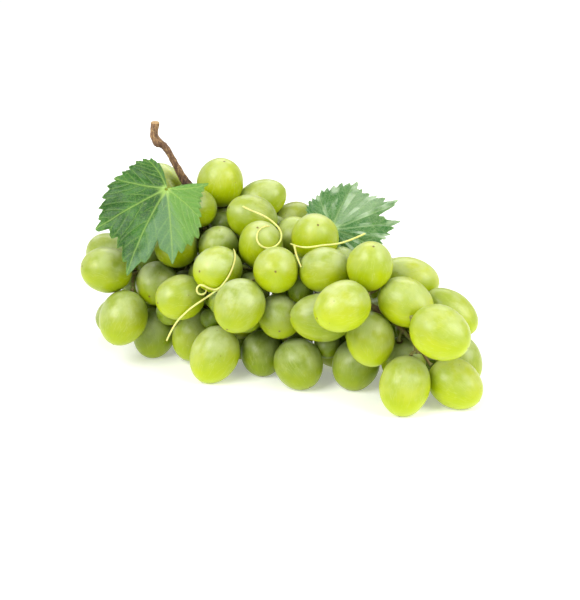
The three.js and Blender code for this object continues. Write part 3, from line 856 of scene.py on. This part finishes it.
def leafBlade(name, looks):
    material, shader = newMaterial(name)
    tree = material.node_tree
    flat = attribute(tree, "leafFlat", "Vector")
    vein = attribute(tree, "leafVein")
    share = attribute(tree, "leafShare")
    turn = attribute(tree, "leafTurn")
    under = attribute(tree, "leafUnder")

    color = useGroup(tree, mottle, Place=flat, Tone_A=looks["deep"], Tone_B=looks["fresh"],
                     Patch_Scale=leafGrain["patchScale"], Fleck_Scale=leafGrain["fleckScale"],
                     Fleck_Amount=leafGrain["fleckAmount"])["Color"]
    # painted light: one half of the blade is painted in another tone, cooler and running into the shine
    # colour, as if it were turned to the sky and caught the light
    waver = maths(tree, "ADD", turn, ramp(tree, noiseValue(tree, flat, 0.12, 2), 0.3, 0.7, -0.06, 0.06))
    cool = blendColor(tree, ramp(tree, waver, -0.9, -0.3), looks["cool"], looks["shine"])
    color = blendColor(tree, ramp(tree, waver, 0.02, -0.08, 0, looks["coolAmount"]), color, cool)
    # painted sheen: the side of each pleat that would catch the light is painted in the pale shine colour
    fan = ramp(tree, attribute(tree, "leafFan"), -0.2, 0.9)
    pleatSheen = maths(tree, "MULTIPLY", fan, ramp(tree, share, 0.2, 0.6))
    pleatSheen = maths(tree, "MULTIPLY", pleatSheen, ramp(tree, noiseValue(tree, flat, 0.10, 2), 0.40, 0.62))
    color = blendColor(tree, maths(tree, "MULTIPLY", pleatSheen, looks["shineAmount"]), color, looks["shine"])

    # the finest veins make a net of small cells
    net = voronoi(tree, flat, leafGrain["netScale"], "DISTANCE_TO_EDGE").outputs["Distance"]
    netMask = ramp(tree, net, 0.0, 0.07, 1.0, 0.0)
    color = blendColor(tree, maths(tree, "MULTIPLY", netMask, leafGrain["netAmount"]), color, looks["vein"])
    color = blendColor(tree, maths(tree, "MULTIPLY", vein, looks["veinAmount"]), color, looks["vein"])
    rim = ramp(tree, share, 0.955, 1.0, 0.0, 0.45)
    color = blendColor(tree, rim, color, looks["rim"])
    hub = ramp(tree, share, 0.05, 0.16, 0.85, 0.0)
    color = blendColor(tree, hub, color, looks["vein"])
    underside = maths(tree, "MULTIPLY", under, leafGrain["underAmount"])
    color = blendColor(tree, underside, color, looks["under"])
    tree.links.new(color, shader.inputs["Base Color"])

    fleck = noiseValue(tree, flat, 1.4, 4, 0.6)
    rough = ramp(tree, fleck, 0.3, 0.7, looks["roughness"] - 0.05, looks["roughness"] + 0.08)
    rough = maths(tree, "ADD", rough, maths(tree, "MULTIPLY", under, 0.2), clamp=True)
    tree.links.new(rough, shader.inputs["Roughness"])
    height = useGroup(tree, livingGrain, Place=flat, Broad_Scale=0.5, Fine_Scale=3.0,
                      Fine_Share=0.4)["Height"]
    height = maths(tree, "SUBTRACT", height, maths(tree, "MULTIPLY", netMask, 0.35))
    height = maths(tree, "SUBTRACT", height, maths(tree, "MULTIPLY", vein, 0.4))
    normal = bump(tree, height, leafGrain["bump"], leafGrain["bumpDepth"])
    tree.links.new(normal, shader.inputs["Normal"])
    shader.inputs["Subsurface Weight"].default_value = leafGrain["subsurface"]
    shader.inputs["Subsurface Radius"].default_value = leafGrain["scatter"]
    shader.inputs["Subsurface Scale"].default_value = leafGrain["glowDepth"]
    shader.inputs["Specular IOR Level"].default_value = leafGrain["shineLevel"]
    return material


leafGrain = {
    "patchScale": 0.07,  # scales are per millimetre
    "fleckScale": 0.8,
    "fleckAmount": 0.5,
    "netScale": 0.75,
    "netAmount": 0.22,
    "underAmount": 0.75,
    "bump": 0.6,
    "bumpDepth": 0.3 * mm,
    "subsurface": 0.15,
    "scatter": (0.5, 1.0, 0.2),
    "glowDepth": 1.5 * mm,
    "shineLevel": 0.32,
}
# the cool half tone and the shine colour are painted light: tones laid on one half of a blade and on one
# side of each pleat, standing in for light caught from above
leafLooks = {
    "leaf_front": {
        "deep": (0.013, 0.072, 0.006, 1),
        "fresh": (0.040, 0.150, 0.014, 1),
        "cool": (0.15, 0.32, 0.06, 1),
        "coolAmount": 0.80,
        "shine": (0.12, 0.23, 0.11, 1),
        "shineAmount": 0.15,
        "vein": (0.32, 0.50, 0.11, 1),
        "veinAmount": 0.60,
        "rim": (0.14, 0.28, 0.04, 1),
        "under": (0.25, 0.40, 0.18, 1),
        "roughness": 0.36,
    },
    "leaf_back": {
        "deep": (0.040, 0.150, 0.030, 1),
        "fresh": (0.10, 0.22, 0.06, 1),
        "cool": (0.05, 0.17, 0.035, 1),
        "coolAmount": 0.25,
        "shine": (0.52, 0.64, 0.44, 1),
        "shineAmount": 0.62,
        "vein": (0.42, 0.58, 0.26, 1),
        "veinAmount": 0.35,
        "rim": (0.30, 0.46, 0.16, 1),
        "under": (0.30, 0.45, 0.22, 1),
        "roughness": 0.30,
    },
}


def buildLeaves():
    for name, looks in leafLooks.items():
        buildLeaf(name, leafBlade("blade_" + name, looks))
    print("leaves:", len(leafLooks))


# Stem

stemBuild = {
    "voxel": 0.32 * mm,
    "smoothing": 4,
    "barkDepth": 0.28 * mm,
    "barkFrom": 70 * mm,  # height where the green twigs end and the old wood starts
    "barkOver": 10 * mm,
    "ridges": (900, 900, 130),  # per metre, so that the ridges run up the stalk
    "knots": 260,
    "knotDepth": 0.5 * mm,
    "cutFlat": 0.3 * mm,
    "nodeBelow": 11.0 * mm,  # the old node of the cane, below the cut end
}
stemLook = {
    "bark": (0.33, 0.19, 0.085, 1),
    "barkDark": (0.10, 0.048, 0.025, 1),
    "barkPale": (0.52, 0.38, 0.15, 1),
    "base": (0.035, 0.015, 0.018, 1),
    "green": (0.24, 0.27, 0.06, 1),
    "brown": (0.20, 0.12, 0.05, 1),
    "cut": (0.55, 0.36, 0.16, 1),
    "lean": -28,  # degrees, as the stalk leans
    "stretch": (1.0, 1.0, 0.14),
    "fibreScale": 1500.0,  # scales are per metre
    "barkScale": 700.0,
    "barkFlecks": 2200.0,
    "twigScale": 120.0,
    "twigFlecks": 900.0,
    "wartScale": 620.0,
    "baseFrom": (58 * mm, 68 * mm),
    "barkFrom": (72 * mm, 81 * mm),
    "raggedness": 2.5 * mm,
}


def stemBark():
    material, shader = newMaterial("stemBark")
    tree = material.node_tree
    place = tree.nodes.new("ShaderNodeTexCoord").outputs["Object"]
    height = tree.nodes.new("ShaderNodeSeparateXYZ")
    tree.links.new(place, height.inputs[0])
    z = height.outputs["Z"]
    stretched = tree.nodes.new("ShaderNodeMapping")
    tree.links.new(place, stretched.inputs["Vector"])
    stretched.inputs["Rotation"].default_value = (0, math.radians(stemLook["lean"]), 0)
    stretched.inputs["Scale"].default_value = stemLook["stretch"]
    fibre = noiseValue(tree, stretched.outputs[0], stemLook["fibreScale"], 5, 0.65)
    bark = useGroup(tree, mottle, Place=stretched.outputs[0], Tone_A=stemLook["bark"],
                    Tone_B=stemLook["barkDark"], Patch_Scale=stemLook["barkScale"],
                    Fleck_Scale=stemLook["barkFlecks"], Fleck_Amount=1.4)["Color"]
    twig = useGroup(tree, mottle, Place=place, Tone_A=stemLook["green"], Tone_B=stemLook["brown"],
                    Patch_Scale=stemLook["twigScale"], Fleck_Scale=stemLook["twigFlecks"],
                    Fleck_Amount=0.8)["Color"]
    ragged = stemLook["raggedness"]
    wavy = maths(tree, "ADD", z, ramp(tree, fibre, 0.3, 0.7, -ragged, ragged))
    color = blendColor(tree, ramp(tree, wavy, *stemLook["baseFrom"]), twig, stemLook["base"])
    color = blendColor(tree, ramp(tree, wavy, *stemLook["barkFrom"]), color, bark)
    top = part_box("stem")[1].z
    pale = maths(tree, "MULTIPLY", ramp(tree, noiseValue(tree, place, 1300.0, 2), 0.60, 0.68, 0.0, 0.6),
                 ramp(tree, z, 0.080, 0.084))
    color = blendColor(tree, pale, color, stemLook["barkPale"])
    node = maths(tree, "ABSOLUTE", maths(tree, "SUBTRACT", wavy, top - stemBuild["nodeBelow"]))
    color = blendColor(tree, ramp(tree, node, 0.0008, 0.0032, 0.75, 0.0), color, stemLook["barkDark"])
    cutEnd = ramp(tree, z, top - 0.9 * mm, top - 0.5 * mm, 0.0, 0.85)
    color = blendColor(tree, cutEnd, color, stemLook["cut"])
    warts = voronoi(tree, place, stemLook["wartScale"]).outputs["Distance"]
    wartMask = ramp(tree, warts, 0.10, 0.28, 1.0, 0.0)
    color = blendColor(tree, maths(tree, "MULTIPLY", wartMask, 0.4), color, stemLook["barkDark"])
    tree.links.new(color, shader.inputs["Base Color"])
    tree.links.new(ramp(tree, fibre, 0.3, 0.7, 0.62, 0.85), shader.inputs["Roughness"])
    relief = useGroup(tree, livingGrain, Place=stretched.outputs[0], Broad_Scale=900.0, Fine_Scale=3200.0,
                      Fine_Share=0.5)["Height"]
    relief = maths(tree, "ADD", relief, maths(tree, "MULTIPLY", wartMask, 0.5))
    tree.links.new(bump(tree, relief, 0.8, 0.35 * mm), shader.inputs["Normal"])
    return material


def applyModifiers(thing):
    evaluated = thing.evaluated_get(bpy.context.evaluated_depsgraph_get())
    mesh = bpy.data.meshes.new_from_object(evaluated)
    thing.modifiers.clear()
    thing.data = mesh


def buildStem():
    piece = meshObject("branchedStem", mergedCopy("stem"))
    remesh = piece.modifiers.new("remesh", "REMESH")
    remesh.mode = "VOXEL"
    remesh.voxel_size = stemBuild["voxel"]
    smooth = piece.modifiers.new("smooth", "SMOOTH")
    smooth.factor = 0.5
    smooth.iterations = stemBuild["smoothing"]
    applyModifiers(piece)
    # ridged bark on the old wood, small swellings on the green twigs
    bm = bmesh.new()
    bm.from_mesh(piece.data)
    bm.normal_update()
    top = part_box("stem")[1].z
    for v in bm.verts:
        old = min(max((v.co.z - stemBuild["barkFrom"]) / stemBuild["barkOver"], 0), 1)
        fine = v.co * Vector(stemBuild["ridges"])
        ridges = noise.noise(fine) * stemBuild["barkDepth"] * (0.35 + 0.65 * old)
        knots = max(noise.noise(v.co * stemBuild["knots"]) - 0.25, 0) * stemBuild["knotDepth"]
        if v.co.z < top - stemBuild["cutFlat"]:
            v.co += v.normal * (ridges + knots)
    fresh = meshObject("branchedStemWork", bm)
    piece.data = fresh.data
    bpy.data.objects.remove(fresh)
    shadeSmooth(piece)
    setIn(piece, stemBark(), "stem", "stem")
    print("stem faces:", len(piece.data.polygons))


# Tendrils

tendrilLook = {
    "pale": (0.74, 0.79, 0.25, 1),
    "straw": (0.62, 0.60, 0.18, 1),
    "subsurface": 0.25,
    "glowDepth": 1 * mm,
    "rounding": 2,
}


def tendrilSkin():
    material, shader = newMaterial("tendrilSkin")
    tree = material.node_tree
    place = tree.nodes.new("ShaderNodeTexCoord").outputs["Object"]
    color = useGroup(tree, mottle, Place=place, Tone_A=tendrilLook["pale"], Tone_B=tendrilLook["straw"],
                     Patch_Scale=140.0, Fleck_Scale=1300.0, Fleck_Amount=0.6)["Color"]
    tree.links.new(color, shader.inputs["Base Color"])
    rough = ramp(tree, noiseValue(tree, place, 900.0), 0.3, 0.7, 0.35, 0.5)
    tree.links.new(rough, shader.inputs["Roughness"])
    relief = useGroup(tree, livingGrain, Place=place, Broad_Scale=700.0, Fine_Scale=2600.0,
                      Fine_Share=0.4)["Height"]
    tree.links.new(bump(tree, relief, 0.4, 0.15 * mm), shader.inputs["Normal"])
    shader.inputs["Subsurface Weight"].default_value = tendrilLook["subsurface"]
    shader.inputs["Subsurface Scale"].default_value = tendrilLook["glowDepth"]
    return material


def buildTendrils():
    material = tendrilSkin()
    names = sorted(name for name in frame["nodes"] if name.startswith("tendril_"))
    for name in names:
        piece = meshObject(name.replace("tendril_", "curlingTendril_"), mergedCopy(name))
        shadeSmooth(piece)
        rounding = piece.modifiers.new("rounding", "SUBSURF")
        rounding.levels = tendrilLook["rounding"]
        rounding.render_levels = tendrilLook["rounding"]
        setIn(piece, material, "tendril", name)
    print("tendrils:", len(names))


buildStudio()
buildBerries()
buildLeaves()
buildStem()
buildTendrils()
